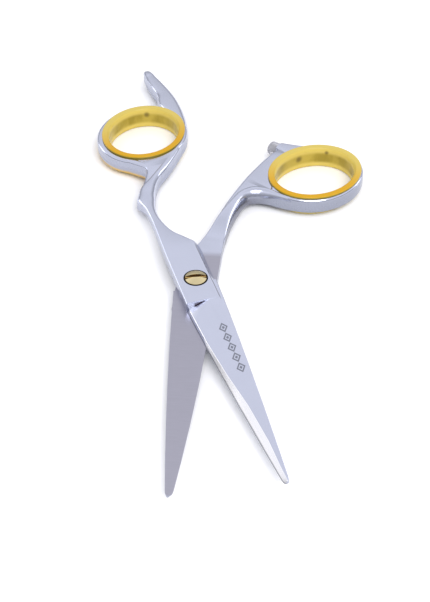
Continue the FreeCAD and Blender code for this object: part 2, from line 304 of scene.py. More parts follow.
def stood_on(left, right, sections):
    """Sections of (distance from the left side, height) stood on the lines from left to right points."""
    across = right - left
    across = across / np.linalg.norm(across, axis=1, keepdims=True)
    plan = left[:, None, :] + across[:, None, :] * sections[..., 0:1]
    return np.concatenate([plan, sections[..., 1:2]], axis=2)


def strap(name, turn, rows, count=LOFT_ROWS):
    """A bar through rows of: left x, y, right x, y, bottom, top, width and drop of the right-hand slope,
    left, right and bottom rounding."""
    data = smooth_through(rows, count)
    left, right = data[:, 0:2], data[:, 2:4]
    bottom, top, slope, drop = data[:, 4], data[:, 5], data[:, 6], data[:, 7]
    width = np.linalg.norm(right - left, axis=1)
    zero = np.zeros(count)
    corners = np.stack([
        np.stack([zero, bottom], axis=1),
        np.stack([zero, top], axis=1),
        np.stack([width - slope, top], axis=1),
        np.stack([width, top - drop], axis=1),
        np.stack([width, bottom], axis=1),
    ], axis=1)
    low_round = data[:, 10]
    radii = np.stack([low_round, data[:, 8], data[:, 9], data[:, 9], low_round], axis=1)
    points = stood_on(left, right, rounded(corners, radii))
    return outwards(loops_piece(name, placed(points, turn)))


def oval(ring, shrink, count):
    """An ellipse in plan: centre + long axis * cos + short axis * sin, both half-axes less a shrink."""
    angle = np.linspace(0, FULL_TURN, count, endpoint=False)
    turn = math.radians(ring["turn"])
    along = np.array([math.cos(turn), math.sin(turn)])
    across = np.array([-math.sin(turn), math.cos(turn)])
    long_part = ((FLANGE_LONG - shrink) * np.cos(angle))[:, None] * along
    short_part = ((FLANGE_SHORT - shrink) * np.sin(angle))[:, None] * across
    return np.array(ring["centre"]) + long_part + short_part


def carried_round(name, turn, ring, profile):
    """A closed ring: a profile of (inset, height) points, each carried round its own smaller ellipse."""
    loops = []
    for inset, height in profile:
        plan = oval(ring, inset, RING_ROWS)
        loops.append(np.concatenate([plan, np.full((RING_ROWS, 1), height)], axis=1))
    points = np.stack(loops, axis=1)
    return outwards(loops_piece(name, placed(points, turn), closed_rows=True))


def rounded_profile(corners, radii):
    """One closed profile with curved corners."""
    return rounded(np.array([corners], float), np.array([radii], float))[0]


# ---- the two steel halves ----

FLANGE_LONG = 14.6
FLANGE_SHORT = 12.5
BORE_INSET = 1.2
OPENING_INSET = 2.15
INSERT_TOP = 6.5
STEEL_MARGIN = 0.6
FINGER_RING = {"centre": (4.5, 71.0), "turn": 60.0}
FINGER_STEEL = {"centre": (4.0, 70.7), "turn": 60.0}
FINGER_STEEL_MARGIN = 1.1
THUMB_RING = {"centre": (30.5, 50.1), "turn": 46.5}
LOW = 1.2
HIGH = 5.8

# left x, y, right x, y, bottom, top, slope width, slope drop, left, right and bottom rounding
FINGER_BAR = [
    (-5.0, -8.7, 5.15, -8.7, 3.45, 6.4, 1.45, 2.35, 0.5, 0.25, 0.1),
    (-4.95, 0.0, 5.22, 0.0, 3.45, 6.4, 1.45, 2.35, 0.5, 0.25, 0.1),
    (-4.9, 8.0, 5.32, 8.0, 3.45, 6.4, 1.45, 2.35, 0.5, 0.25, 0.1),
    (-4.86, 11.5, 5.4, 13.4, 3.45, 6.4, 1.45, 2.3, 0.5, 0.25, 0.1),
    (-4.83, 12.8, 5.15, 15.0, 3.45, 6.4, 1.3, 2.1, 0.5, 0.35, 0.1),
    (-4.8, 14.4, 4.0, 16.1, 3.45, 6.4, 0.9, 1.5, 0.55, 0.5, 0.1),
    (-4.72, 17.5, 2.3, 17.9, 3.45, 6.36, 0.6, 0.9, 0.65, 0.6, 0.15),
    (-4.6, 21.5, 0.2, 20.7, 3.45, 6.27, 0.6, 0.8, 0.8, 0.7, 0.2),
    (-4.5, 25.6, -1.3, 25.0, 3.45, 6.13, 0.6, 0.7, 0.9, 0.8, 0.3),
    (-4.6, 30.6, -1.95, 29.9, 3.45, 6.0, 0.7, 0.7, 1.1, 0.9, 0.4),
    (-4.9, 34.0, -1.7, 33.3, 3.2, 5.92, 0.8, 0.8, 1.5, 1.0, 0.6),
    (-5.6, 36.5, -1.2, 35.7, 2.4, 5.88, 0.9, 0.9, 1.6, 1.1, 0.8),
    (-5.9, 38.4, -0.7, 37.6, 1.6, 5.86, 0.9, 0.9, 2.0, 1.1, 0.9),
    (-5.1, 40.7, -0.1, 39.9, 1.25, 5.85, 1.0, 1.0, 1.9, 1.2, 1.0),
    (-3.4, 43.8, 1.2, 43.6, 1.2, 5.9, 1.0, 1.0, 1.5, 1.2, 1.0),
    (0.4, 47.6, 3.4, 47.6, 1.2, 5.9, 1.0, 1.0, 1.2, 1.2, 1.0),
    (4.6, 52.4, 7.3, 52.2, 1.2, 5.85, 1.0, 1.0, 1.1, 1.2, 1.0),
    (8.6, 57.6, 10.9, 56.9, 1.2, 5.8, 0.8, 1.0, 0.9, 1.1, 1.0),
    (12.2, 62.3, 14.1, 61.5, 1.2, 5.8, 0.7, 1.0, 0.5, 1.0, 0.8),
    (15.0, 67.0, 16.9, 66.4, 1.2, 5.8, 0.7, 1.0, 0.5, 1.0, 0.8),
    (16.3, 72.2, 18.55, 71.7, 1.2, 5.8, 0.8, 1.1, 0.5, 1.0, 0.8),
    (16.2, 78.6, 19.6, 78.2, 1.2, 5.8, 1.0, 1.2, 0.5, 1.2, 0.9),
    (13.6, 84.6, 19.9, 84.6, 1.2, 5.8, 1.0, 1.2, 1.2, 1.3, 1.1),
    (13.5, 88.4, 19.8, 88.8, 1.2, 5.8, 1.0, 1.2, 1.5, 1.3, 1.4),
    (14.15, 91.6, 19.45, 92.4, 1.2, 5.78, 1.0, 1.2, 1.6, 1.3, 1.5),
    (13.65, 98.0, 18.55, 98.0, 1.2, 5.75, 1.0, 1.2, 1.6, 1.3, 1.5),
    (13.45, 103.5, 17.4, 103.4, 1.25, 5.7, 0.9, 1.1, 1.5, 1.2, 1.5),
    (13.6, 106.5, 16.75, 106.3, 1.3, 5.65, 0.8, 1.0, 1.4, 1.1, 1.4),
    (13.85, 107.6, 16.4, 107.5, 1.5, 5.4, 0.7, 0.9, 1.2, 0.9, 1.2),
    (14.3, 108.1, 16.0, 108.05, 2.1, 4.8, 0.4, 0.6, 0.8, 0.6, 0.9),
    (14.7, 108.2, 15.6, 108.2, 2.8, 4.2, 0.2, 0.3, 0.4, 0.3, 0.4),
]
FINGER_WEB = [
    (-4.2, 40.6, -1.2, 39.9, 1.3, 5.45, 0.3, 0.3, 1.4, 0.2, 0.9),
    (-3.5, 42.9, -0.4, 42.3, 1.2, 5.45, 0.3, 0.3, 1.4, 0.2, 0.9),
    (-1.4, 47.5, 2.2, 47.0, 1.2, 5.5, 0.3, 0.3, 1.2, 0.2, 0.8),
    (0.4, 51.6, 6.0, 51.6, 1.25, 5.72, 0.3, 0.3, 0.6, 0.2, 0.6),
    (-0.2, 54.8, 9.4, 56.9, 1.25, 5.8, 0.3, 0.3, 0.3, 0.2, 0.5),
    (-0.9, 57.4, 11.6, 60.0, 1.25, 5.8, 0.3, 0.3, 0.3, 0.2, 0.4),
    (-1.4, 60.4, 13.2, 63.4, 1.25, 5.8, 0.3, 0.3, 0.3, 0.2, 0.4),
]
FINGER_STRAP = [
    (-6.4, 60.2, -4.6, 61.6, 1.2, 5.74, 0.3, 0.2, 1.0, 0.3, 0.9),
    (-4.3, 57.6, -2.7, 59.3, 1.2, 5.8, 0.5, 0.3, 1.1, 0.7, 0.9),
    (-2.5, 55.6, -0.8, 57.5, 1.2, 5.84, 0.7, 0.5, 1.1, 0.9, 0.9),
    (-0.9, 54.0, 1.0, 55.7, 1.2, 5.82, 0.8, 0.6, 1.1, 1.0, 0.9),
    (0.3, 52.4, 2.3, 53.3, 1.25, 5.65, 0.8, 0.6, 1.1, 1.0, 0.9),
    (0.7, 50.4, 2.4, 50.7, 1.4, 5.15, 0.6, 0.5, 0.9, 0.7, 0.9),
]
THUMB_BAR = [
    (-5.4, -8.7, 5.0, -8.7, 0.03, 3.4, 0.12, 0.12, 0.1, 0.1, 0.4),
    (-5.15, 0.0, 5.2, 0.0, 0.03, 3.4, 0.12, 0.12, 0.1, 0.1, 0.5),
    (-4.7, 6.0, 5.35, 6.0, 0.03, 3.4, 0.12, 0.12, 0.1, 0.1, 0.6),
    (-2.8, 12.8, 5.65, 12.3, 0.03, 3.4, 0.12, 0.12, 0.1, 0.1, 0.7),
    (-0.2, 19.0, 6.0, 18.2, 0.03, 3.38, 0.15, 0.15, 0.15, 0.2, 0.9),
    (0.9, 21.8, 6.4, 21.2, 0.1, 3.42, 0.4, 0.4, 0.4, 0.6, 1.0),
    (2.1, 25.0, 7.0, 24.8, 0.35, 3.95, 0.6, 0.8, 0.7, 1.0, 1.1),
    (3.4, 28.2, 7.9, 28.4, 0.7, 4.9, 1.0, 1.4, 0.9, 1.4, 1.2),
    (5.2, 32.2, 9.2, 32.6, 1.1, 5.55, 1.2, 1.8, 1.1, 1.6, 1.2),
    (7.2, 36.2, 10.55, 36.1, 1.2, 5.85, 1.3, 2.0, 1.1, 1.6, 1.2),
    (9.2, 39.7, 12.1, 38.25, 1.2, 5.9, 1.3, 2.0, 1.1, 1.6, 1.2),
    (12.9, 42.2, 14.6, 39.1, 1.2, 5.9, 1.3, 2.0, 1.0, 1.6, 1.2),
    (17.2, 41.6, 16.9, 38.8, 1.2, 5.85, 1.1, 1.7, 0.9, 1.5, 1.1),
    (20.3, 39.6, 19.9, 37.85, 1.2, 5.8, 0.7, 1.1, 0.6, 1.1, 1.0),
    (23.9, 38.4, 23.4, 36.65, 1.2, 5.8, 0.7, 1.1, 0.5, 1.1, 0.9),
    (27.6, 37.6, 27.4, 35.92, 1.2, 5.78, 0.7, 1.1, 0.5, 1.1, 0.9),
]
THUMB_WEB = [
    (4.6, 31.5, 7.8, 31.8, 1.0, 5.1, 0.3, 0.3, 0.9, 0.2, 0.9),
    (6.1, 35.3, 9.0, 35.6, 1.2, 5.5, 0.3, 0.3, 0.9, 0.2, 0.9),
    (8.4, 41.0, 13.0, 40.4, 1.2, 5.72, 0.3, 0.3, 0.9, 0.2, 0.9),
    (10.6, 46.2, 17.8, 40.6, 1.2, 5.79, 0.3, 0.3, 0.9, 0.2, 0.9),
    (13.0, 51.0, 19.0, 45.5, 1.2, 5.8, 0.3, 0.3, 0.9, 0.2, 0.9),
    (15.4, 55.5, 20.2, 52.6, 1.2, 5.8, 0.3, 0.3, 0.9, 0.2, 0.9),
    (18.2, 60.0, 23.0, 58.6, 1.2, 5.76, 0.3, 0.3, 0.9, 0.2, 0.9),
    (20.6, 63.4, 26.0, 61.6, 1.25, 5.3, 0.3, 0.3, 0.9, 0.2, 0.9),
]
THUMB_ARM = [
    (18.88, 62.3, 21.0, 65.7, 1.2, 5.8, 0.9, 0.9, 1.0, 1.0, 1.0),
    (20.6, 60.6, 23.4, 65.2, 1.2, 5.8, 0.9, 0.9, 1.0, 1.0, 1.0),
    (22.6, 59.2, 26.0, 64.5, 1.2, 5.78, 0.7, 0.7, 0.5, 1.0, 1.0),
    (24.5, 60.5, 28.2, 64.0, 1.2, 5.72, 0.5, 0.5, 0.2, 0.9, 0.9),
]

BLADE_DISTANCES = [2.0, 4.0, 9.5, 12.0, 16.0, 22.0, 33.0, 44.0, 55.0, 62.0, 65.0, 65.7, 66.1, 66.25, 66.3]
TIP_SHARES = [1.0, 1.0, 1.0, 1.0, 1.0, 1.0, 1.0, 1.0, 1.0, 1.0, 1.0, 0.93, 0.76, 0.6, 0.4]
CROWN_PLACES = [(4.0, 0.55), (22.0, 0.62), (44.0, 0.68), (68.0, 0.72)]
CROWN_HEIGHTS = [(4.0, 2.95), (9.5, 2.93), (12.0, 2.72), (22.0, 2.1), (44.0, 1.5), (68.0, 0.8)]
BACK_HEIGHTS = [(4.0, 2.95), (9.5, 2.94), (22.0, 2.6), (44.0, 1.9), (68.0, 0.8)]
BEVEL_WIDTHS = [(4.0, 0.3), (22.0, 0.4), (33.0, 0.9), (44.0, 1.7), (53.0, 2.2), (68.0, 1.9)]
BEVEL_HEIGHTS = [(4.0, 1.0), (22.0, 0.95), (33.0, 1.0), (44.0, 1.15), (53.0, 1.05), (68.0, 0.65)]
EDGE_LAND = 0.12
SPINE_CHAMFER = 0.45
SPINE_SHARE = 0.08
SPINE_HEIGHT_SHARE = 0.4
HOLLOW_DEPTH = 0.11
FINGER_SIDES = ([(4.0, -5.0), (37.0, -2.95), (65.3, -0.5)], [(4.0, 5.2), (37.0, 3.35), (65.6, 1.05)])
THUMB_SIDES = ([(4.0, -5.0), (37.0, -3.35), (65.3, -0.65)], [(4.0, 5.5), (37.0, 3.6), (65.6, 1.15)])


LOZENGE_X = 1.3
LOZENGE_START = -19.0                  # the lozenge nearest the pivot
LOZENGE_PITCH = 3.4
LOZENGE_END = LOZENGE_START - 4.5 * LOZENGE_PITCH
LOZENGE_HALF_WIDTH = 1.1
LOZENGE_HALF_LENGTH = 1.65
BAR_ROWS = 260
# painted shade on the halves' walls, as a share of the steel colour
FINGER_WALL_PAINTED_SHADE = 0.70
THUMB_WALL_PAINTED_SHADE = 0.56
COUNTERBORE = (6.2, 5.0, 7.0)          # diameter, bottom, top of each round cut
BUSH_HOLE = (4.8, 2.0, 5.5)
SCREW_HOLE = (3.0, -1.0, 5.0)
PLUG_SIDES = 96


def at_distances(pairs, distances):
    """Values along the blade, in straight lines between (distance, value) pairs."""
    return np.interp(distances, [d for d, _ in pairs], [value for _, value in pairs])


def side_line(pairs, distances):
    """One long side of a blade: the parabola through three (distance, x) pairs."""
    return np.polyval(np.polyfit([d for d, _ in pairs], [x for _, x in pairs], 2), distances)


def blade(name, turn, sides, face_down):
    """A tapering blade: bevel, ground face up to a crown, level back, sloped spine and a hollow flat face."""
    distances = np.array(BLADE_DISTANCES)
    edge = side_line(sides[0], distances)
    spine = side_line(sides[1], distances)
    middle = (edge + spine) / 2
    share = np.array(TIP_SHARES)
    edge = middle + (edge - middle) * share
    spine = middle + (spine - middle) * share
    width = spine - edge
    bevel = np.minimum(at_distances(BEVEL_WIDTHS, distances), 0.5 * width)
    bevel_height = at_distances(BEVEL_HEIGHTS, distances)
    crown = at_distances(CROWN_HEIGHTS, distances)
    back = at_distances(BACK_HEIGHTS, distances)
    chamfer = np.minimum(SPINE_CHAMFER, SPINE_SHARE * width)
    zero = np.zeros(len(distances))
    hollow = HOLLOW_DEPTH * np.clip((62.0 - distances) / 45.0, 0, 1) * np.clip((distances - 10.0) / 6.0, 0, 1)
    corners = np.stack([
        np.stack([zero, zero], axis=1),
        np.stack([zero, zero + EDGE_LAND], axis=1),
        np.stack([bevel, bevel_height], axis=1),
        np.stack([at_distances(CROWN_PLACES, distances) * width, crown], axis=1),
        np.stack([width - chamfer, back], axis=1),
        np.stack([width, back * SPINE_HEIGHT_SHARE], axis=1),
        np.stack([width, zero], axis=1),
        np.stack([width * 0.8, zero + 0.001], axis=1),
        np.stack([width * 0.5, hollow + 0.001], axis=1),
        np.stack([width * 0.2, zero + 0.001], axis=1),
    ], axis=1)
    radii = np.broadcast_to([0.02, 0.03, 0.15, 0.4, 0.25, 0.25, 0.08, 1.0, 3.0, 1.0], corners.shape[:2])
    left = np.stack([edge, -distances], axis=1)
    right = np.stack([spine, -distances], axis=1)
    points = stood_on(left, right, rounded(corners, radii))
    if face_down:
        points = points + (0, 0, MATING + GAP)
    else:
        points = points * (-1, 1, -1) + (0, 0, MATING)
    return outwards(loops_piece(name, placed(points, turn)))


def steel_ring(name, turn, ring, margin):
    """The steel round a finger opening, with its bore left small: it is cut once the half is joined."""
    inner = BORE_INSET + 0.5
    corners = [(inner, LOW), (inner, HIGH - 0.02), (-margin, HIGH - 0.02), (-margin, LOW)]
    return carried_round(name, turn, ring, rounded_profile(corners, [0.05, 0.05, 1.0, 1.0]))


def bore_cutter(name, turn, ring):
    """An oval column as large as a ring's bore."""
    plan = oval(ring, BORE_INSET, RING_ROWS)
    ends = [np.concatenate([plan, np.full((RING_ROWS, 1), z)], axis=1) for z in (LOW - 2.0, HIGH + 2.0)]
    return outwards(loops_piece(name, placed(np.stack(ends), turn)))


def plug(name, diameter, low, high):
    """A round cutter on the pivot's axis."""
    angle = np.linspace(0, FULL_TURN, PLUG_SIDES, endpoint=False)
    loop = np.stack([np.cos(angle), np.sin(angle)], axis=1) * diameter / 2
    ends = [np.concatenate([loop, np.full((PLUG_SIDES, 1), z)], axis=1) for z in (low, high)]
    return outwards(loops_piece(name, placed(np.stack(ends), 0.0)))


def steel(name, turn, finishes, flat_face, wall_painted_shade, marks):
    """Polished steel: cross-ground blade, matte inner face, duller walls with painted shade, painted shade in
    the recess round the screw.
    """
    finish = Finish(name, Metallic=1.0)
    places = finish.places(turn)
    x, y, z = finish.axes(places)
    cloud = finish.noise(places, 0.12)
    across_marks = finish.noise(finish.stretched(places, (0.25, 7.0, 1.0)), 1.0)
    along_marks = finish.noise(finish.stretched(places, (7.0, 0.25, 1.0)), 1.0)
    on_blade = 1 - y.step(-9.5, -8.0)
    face = flat_face(x, y, z)
    wall = 1 - finish.attribute("upward").step(0.1, 0.65)
    recess = (1 - radius_from(x, y).step(3.12, 3.18)) * z.step(4.0, 4.2)
    shade = cloud * 0.45 + across_marks * on_blade * 0.35 + along_marks * 0.2
    bright = finish.mix(shade, rgb(finishes.steel, 0.93), rgb(finishes.steel, 1.06))
    dull = finish.mix(across_marks, rgb(finishes.matte, 0.92), rgb(finishes.matte, 1.08))
    colour = finish.mix(face, bright, dull)
    # painted shade: walls, found by the upward part of the normal, take a darker steel colour
    colour = finish.mix(wall, colour, rgb(finishes.steel, wall_painted_shade))
    etched = lozenge_row(x, y) * z.step(3.6, 3.8) * (1 - wall)
    colour = finish.mix(etched * 0.85, colour, rgb(finishes.steel, 0.3))
    # painted highlight: the blade's bevel along the cutting edge turns near white
    bevel = on_blade * finish.attribute("upward").band(0.5, 0.92, 0.02) * (1 - x.step(0.2, 0.8)) * (1 - face)
    colour = finish.mix(bevel, colour, (0.97, 0.97, 1.0, 1.0))
    # painted dark reflection: a dark line low along the cutting edge
    edge_dark_reflection = on_blade * (1 - x.step(0.2, 0.8)) * z.step(3.46, 3.5) * (1 - z.step(3.62, 3.74))
    colour = finish.mix(edge_dark_reflection * 0.75, colour, (0.2, 0.2, 0.22, 1.0))
    # each half's painted reflections and shade
    colour = marks(finish, colour, x, y, z, wall)
    # painted shade: the counterbore round the screw head turns almost black
    colour = finish.mix(recess * 0.9, colour, (0.02, 0.018, 0.02, 1.0))
    finish.feed("Base Color", colour)
    fine = finish.noise(places, 5.0)
    finish.feed("Roughness", 0.14 + fine * 0.06 + on_blade * 0.06 + face * 0.16 + etched * 0.2 + wall * 0.1)
    finish.bump(across_marks * on_blade + along_marks * 0.5, 0.05, 0.00002)
    return finish.material


def radius_from(x, y):
    """Distance from the pivot's axis."""
    return (x * x + y * y).math("POWER", 0.5)


def lozenge_row(x, y):
    """An engraved row of outlined lozenges: 1 where |x - centre| / half width + |y in its cell| / half length
    lies in a narrow band below 1."""
    sideways = (x - LOZENGE_X).math("ABSOLUTE") * (1 / LOZENGE_HALF_WIDTH)
    cell = (y - LOZENGE_START).math("PINGPONG", LOZENGE_PITCH / 2) * (1 / LOZENGE_HALF_LENGTH)
    size = sideways + cell
    outline = size.band(0.64, 0.98, 0.04)
    heart = 1 - size.step(0.3, 0.38)
    return (outline + heart) * y.band(LOZENGE_END, LOZENGE_START + 0.5 * LOZENGE_PITCH, 0.01)


def finger_painted_reflections(finish, colour, x, y, z, wall):
    """Painted dark reflections on the step to the blade and along the sloped strip, painted amber reflection
    low on the ring's wall.
    """
    # painted dark reflection on the wall of the step to the blade
    step_wall = (1 - y.step(-8.75, -8.6)) * y.step(-9.0, -8.9)
    hollow = step_wall * x.band(-2.6, -0.2, 0.7) * z.band(4.9, 5.9, 0.3)
    colour = finish.mix(hollow, colour, (0.04, 0.02, 0.035, 1.0))
    # painted dark reflection along the crease of the sloped strip
    line = x.band(3.66, 3.8, 0.1) * y.band(-8.0, 12.0, 2.0) * z.step(5.6, 6.0)
    colour = finish.mix(line * 0.6, colour, (0.2, 0.2, 0.23, 1.0))
    # painted amber reflection of the insert on the low wall of the ring
    amber_reflection = wall * (1 - z.step(1.7, 2.7)) * y.step(51.0, 52.0) * (1 - x.step(1.0, 4.0))
    return finish.mix(amber_reflection * 0.85, colour, (0.75, 0.48, 0.08, 1.0))


def thumb_painted_shade(finish, colour, x, y, z, wall):
    """Painted shade on the neck's wall, where it turns to the ring."""
    neck = wall * y.band(22.0, 38.0, 3.0) * (1 - x.step(13.0, 19.0))
    return finish.mix(neck * 0.6, colour, (0.16, 0.155, 0.19, 1.0))


def finger_flat_face(x, y, z):
    """The finger half's inner face looks down."""
    return 1 - z.step(3.46, 3.5)


def thumb_flat_face(x, y, z):
    """The thumb half's inner face looks up, as far as the ramp to its handle."""
    return z.step(3.2, 3.26) * (1 - z.step(3.42, 3.6)) * (1 - y.step(12.0, 15.0))


class SHEARS_OT_finger_half(Operator):
    """The finger half: blade, platform, neck, ring and curved finger rest"""
    bl_idname = "shears.finger_half"
    bl_label = "Finger Half"

    def execute(self, context):
        piece = strap("finger_half_steel", FINGER_TURN, FINGER_BAR, BAR_ROWS)
        others = [
            blade("finger_blade", FINGER_TURN, FINGER_SIDES, True),
            strap("finger_web", FINGER_TURN, FINGER_WEB),
            strap("finger_strap", FINGER_TURN, FINGER_STRAP),
            steel_ring("finger_ring", FINGER_TURN, FINGER_STEEL, FINGER_STEEL_MARGIN),
        ]
        merged(piece, others, "UNION")
        cutters = [
            bore_cutter("finger_bore", FINGER_TURN, FINGER_RING),
            plug("counterbore", *COUNTERBORE),
            plug("bush_hole", *BUSH_HOLE),
        ]
        merged(piece, cutters, "DIFFERENCE")
        finishes = context.scene.shears_finishes
        material = steel("finger_steel", FINGER_TURN, finishes, finger_flat_face, FINGER_WALL_PAINTED_SHADE,
                         finger_painted_reflections)
        finished(piece, material, "finger_side", "polished_steel", "finger_half")
        return {"FINISHED"}


class SHEARS_OT_thumb_half(Operator):
    """The thumb half: blade, shank, neck, ring and bumper arm"""
    bl_idname = "shears.thumb_half"
    bl_label = "Thumb Half"

    def execute(self, context):
        piece = strap("thumb_half_steel", THUMB_TURN, THUMB_BAR, BAR_ROWS)
        others = [
            blade("thumb_blade", THUMB_TURN, THUMB_SIDES, False),
            strap("thumb_web", THUMB_TURN, THUMB_WEB),
            strap("thumb_arm", THUMB_TURN, THUMB_ARM),
            steel_ring("thumb_ring", THUMB_TURN, THUMB_RING, STEEL_MARGIN),
        ]
        merged(piece, others, "UNION")
        cutters = [bore_cutter("thumb_bore", THUMB_TURN, THUMB_RING), plug("screw_hole", *SCREW_HOLE)]
        merged(piece, cutters, "DIFFERENCE")
        finishes = context.scene.shears_finishes
        material = steel("thumb_steel", THUMB_TURN, finishes, thumb_flat_face, THUMB_WALL_PAINTED_SHADE,
                         thumb_painted_shade)
        finished(piece, material, "thumb_side", "polished_steel", "thumb_half")
        return {"FINISHED"}


# ---- ring inserts ----

# painted shade seen through the inserts: dark spots as (centre in the half's own frame, size)
FINGER_SPOTS = [((8.4, 82.7, 4.4), 1.3)]
THUMB_SPOTS = [((25.9, 59.6, 3.5), 1.5), ((34.1, 61.5, 5.0), 0.9)]


def insert_profile(lower_inset):
    """The insert's closed profile: flange on top, wall through the bore, flange below."""
    corners = [(OPENING_INSET, 0.0), (OPENING_INSET, 5.6), (1.75, INSERT_TOP), (0.0, INSERT_TOP), (0.0, 5.82),
               (BORE_INSET + 0.02, 5.82), (BORE_INSET + 0.02, 1.18), (lower_inset, 1.18), (lower_inset, 0.0)]
    radii = [0.6, 0.9, 0.6, 0.5, 0.12, 0.05, 0.05, 0.15, 0.45]
    return rounded_profile(corners, radii)


def amber(name, finishes, turn, ring, spots):
    """Yellow plastic painted to look see-through: painted shade in olive where the wall has steel behind it,
    deeper on the near side of the flange.
    """
    finish = Finish(name, IOR=1.42, Specular_IOR_Level=0.3)
    places = finish.places(turn)
    x, y, z = finish.axes(places)
    cloud = finish.noise(finish.stretched(places, (1.0, 1.0, 0.6)), 0.2)
    fine = finish.noise(places, 1.4)
    near = 1 - (y - ring["centre"][1]).step(-9.0, 7.0)
    blotch = cloud.step(0.36, 0.74)
    flange = finish.mix(near, rgb(finishes.yellow, 0.86), rgb(finishes.amber))
    # painted shade: an olive band where the steel ring stands behind the wall
    behind = z.band(2.3, 4.1, 1.2)
    wall = finish.mix(behind * (0.7 + blotch * 0.3), rgb(finishes.yellow), rgb(finishes.olive))
    wall = finish.mix(behind * blotch * 0.5, wall, rgb(finishes.olive, 0.55))
    # painted shade: dark spots on the wall
    for centre, size in spots:
        offset = finish.add("ShaderNodeVectorMath", {"operation": "DISTANCE"}, [places, centre], "Value")
        wall = finish.mix((1 - offset.step(0.2 * size, size)) * 0.7, wall, (0.10, 0.065, 0.015, 1.0))
    colour = finish.mix(z.step(INSERT_TOP - 0.5, INSERT_TOP - 0.1), wall, flange)
    outline = (1 - z.step(INSERT_TOP - 0.35, INSERT_TOP - 0.15)) * z.step(5.75, 5.85)
    rim = 1 - finish.attribute("upward").step(0.3, 0.75)
    inner = finish.attribute("inward")
    colour = finish.mix(outline * rim * (1 - inner), colour, rgb(finishes.olive, 0.7))
    finish.feed("Base Color", colour)
    finish.feed("Roughness", 0.2 + fine * 0.1)
    return finish.material


def mark_inward(piece, turn, ring):
    """An attribute on every point: 1 where it lies on the opening's side of the insert's wall."""
    mesh = piece.data
    points = np.empty(len(mesh.vertices) * 3)
    mesh.vertices.foreach_get("co", points)
    points = points.reshape(-1, 3) / MM
    centre = placed(np.array([[*ring["centre"], 0.0]]), turn)[0] / MM
    angle = math.radians(ring["turn"]) + turn
    offset = points[:, :2] - centre[:2]
    along = offset @ (math.cos(angle), math.sin(angle))
    across = offset @ (-math.sin(angle), math.cos(angle))
    reach = np.hypot(along / (FLANGE_LONG - BORE_INSET), across / (FLANGE_SHORT - BORE_INSET))
    marks = mesh.attributes.new("inward", "FLOAT", "POINT")
    marks.data.foreach_set("value", np.where(reach < 1.0, 1.0, 0.0))


class SHEARS_OT_ring_inserts(Operator):
    """The two soft inserts in the rings"""
    bl_idname = "shears.ring_inserts"
    bl_label = "Ring Inserts"

    def execute(self, context):
        plans = [("finger_ring_insert", FINGER_TURN, FINGER_RING, 0.0, "finger_side", FINGER_SPOTS),
                 ("thumb_ring_insert", THUMB_TURN, THUMB_RING, 0.9, "thumb_side", THUMB_SPOTS)]
        for node, turn, ring, lower_inset, body, spots in plans:
            piece = carried_round(node + "_soft", turn, ring, insert_profile(lower_inset))
            mark_inward(piece, turn, ring)
            material = amber(node + "_plastic", context.scene.shears_finishes, turn, ring, spots)
            finished(piece, material, body, "amber_insert", node)
        return {"FINISHED"}


# ---- pivot and bumper ----

SLOT_TURN = 6.0                        # degrees, the slot's rest place


def give(node, material):
    """A CAD node keeps its mesh and takes a material."""
    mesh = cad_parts[node].data
    mesh.materials.clear()
    mesh.materials.append(material)


def turned_metal(name, colour, roughness):
    """Turned metal with faint circular marks."""
    finish = Finish(name, Metallic=1.0)
    places = finish.places()
    cloud = finish.noise(places, 0.8)
    finish.feed("Base Color", finish.mix(cloud, rgb(colour, 0.85), rgb(colour, 1.05)))
    finish.feed("Roughness", roughness + cloud * 0.08)
    return finish.material


def plated(name, finishes):
    """Plated head with painted shade in its slot and round its rim, and rings left by turning."""
    finish = Finish(name, Metallic=1.0)
    places = finish.places(math.radians(SLOT_TURN))
    x, y, z = finish.axes(places)
    reach = radius_from(x, y)
    rings = finish.add("ShaderNodeMath", {"operation": "SINE"}, [reach * 28.0])
    cloud = finish.noise(places, 0.6)
    # painted shade in the slot and round the head's rim
    slot_shade = (1 - y.math("ABSOLUTE").step(0.5, 0.56)) * (1 - z.step(6.9, 7.0))
    dark = (slot_shade + reach.step(2.72, 2.79)).math("MINIMUM", 1.0)
    gold = finish.mix(cloud * 0.8 + rings * 0.05, rgb(finishes.gold, 0.9), rgb(finishes.gold, 1.08))
    finish.feed("Base Color", finish.mix(dark, gold, (0.06, 0.035, 0.02, 1.0)))
    finish.feed("Roughness", 0.14 + cloud * 0.06 + dark * 0.2)
    return finish.material


class SHEARS_OT_pivot(Operator):
    """Screw, spring washer and bush on the pivot"""
    bl_idname = "shears.pivot"
    bl_label = "Pivot"

    def execute(self, context):
        finishes = context.scene.shears_finishes
        give("pivot_screw", plated("gold_plate", finishes))
        give("pivot_bush", turned_metal("bush_brass", finishes.gold, 0.25))
        give("spring_washer", turned_metal("washer_steel", finishes.steel, 0.25))
        return {"FINISHED"}


class SHEARS_OT_bumper(Operator):
    """Clear bumper and its stud"""
    bl_idname = "shears.bumper"
    bl_label = "Bumper"

    def execute(self, context):
        finish = Finish("clear_rubber", Transmission_Weight=0.6, IOR=1.35)
        places = finish.places()
        cloud = finish.noise(places, 0.9)
        finish.feed("Base Color", finish.mix(cloud, (0.55, 0.55, 0.61, 1), (0.78, 0.78, 0.83, 1)))
        finish.feed("Roughness", 0.12 + cloud * 0.1)
        give("bumper", finish.material)
        give("bumper_stud", turned_metal("stud_steel", (0.2, 0.19, 0.2), 0.3))
        return {"FINISHED"}


# ---- sizes and colours ----

LOOK_AT = Vector((0.0049, -0.0055, 0.0034))
FLOOR_HALF = 1.5
FLOOR_HEIGHT = -0.0001
SKY_STOPS = [(0.0, 0.42), (0.30, 0.55), (0.52, 0.85), (0.68, 1.0), (1.0, 0.82)]
SOFTBOXES = [                          # name, place, size, power
    ("key_light", (0.12, -0.30, 0.45), 0.4, 2.2),
    ("left_panel", (-0.40, 0.26, 0.15), 0.2, 0.2),
    ("right_panel", (0.40, 0.24, 0.18), 0.16, 0.15),
]


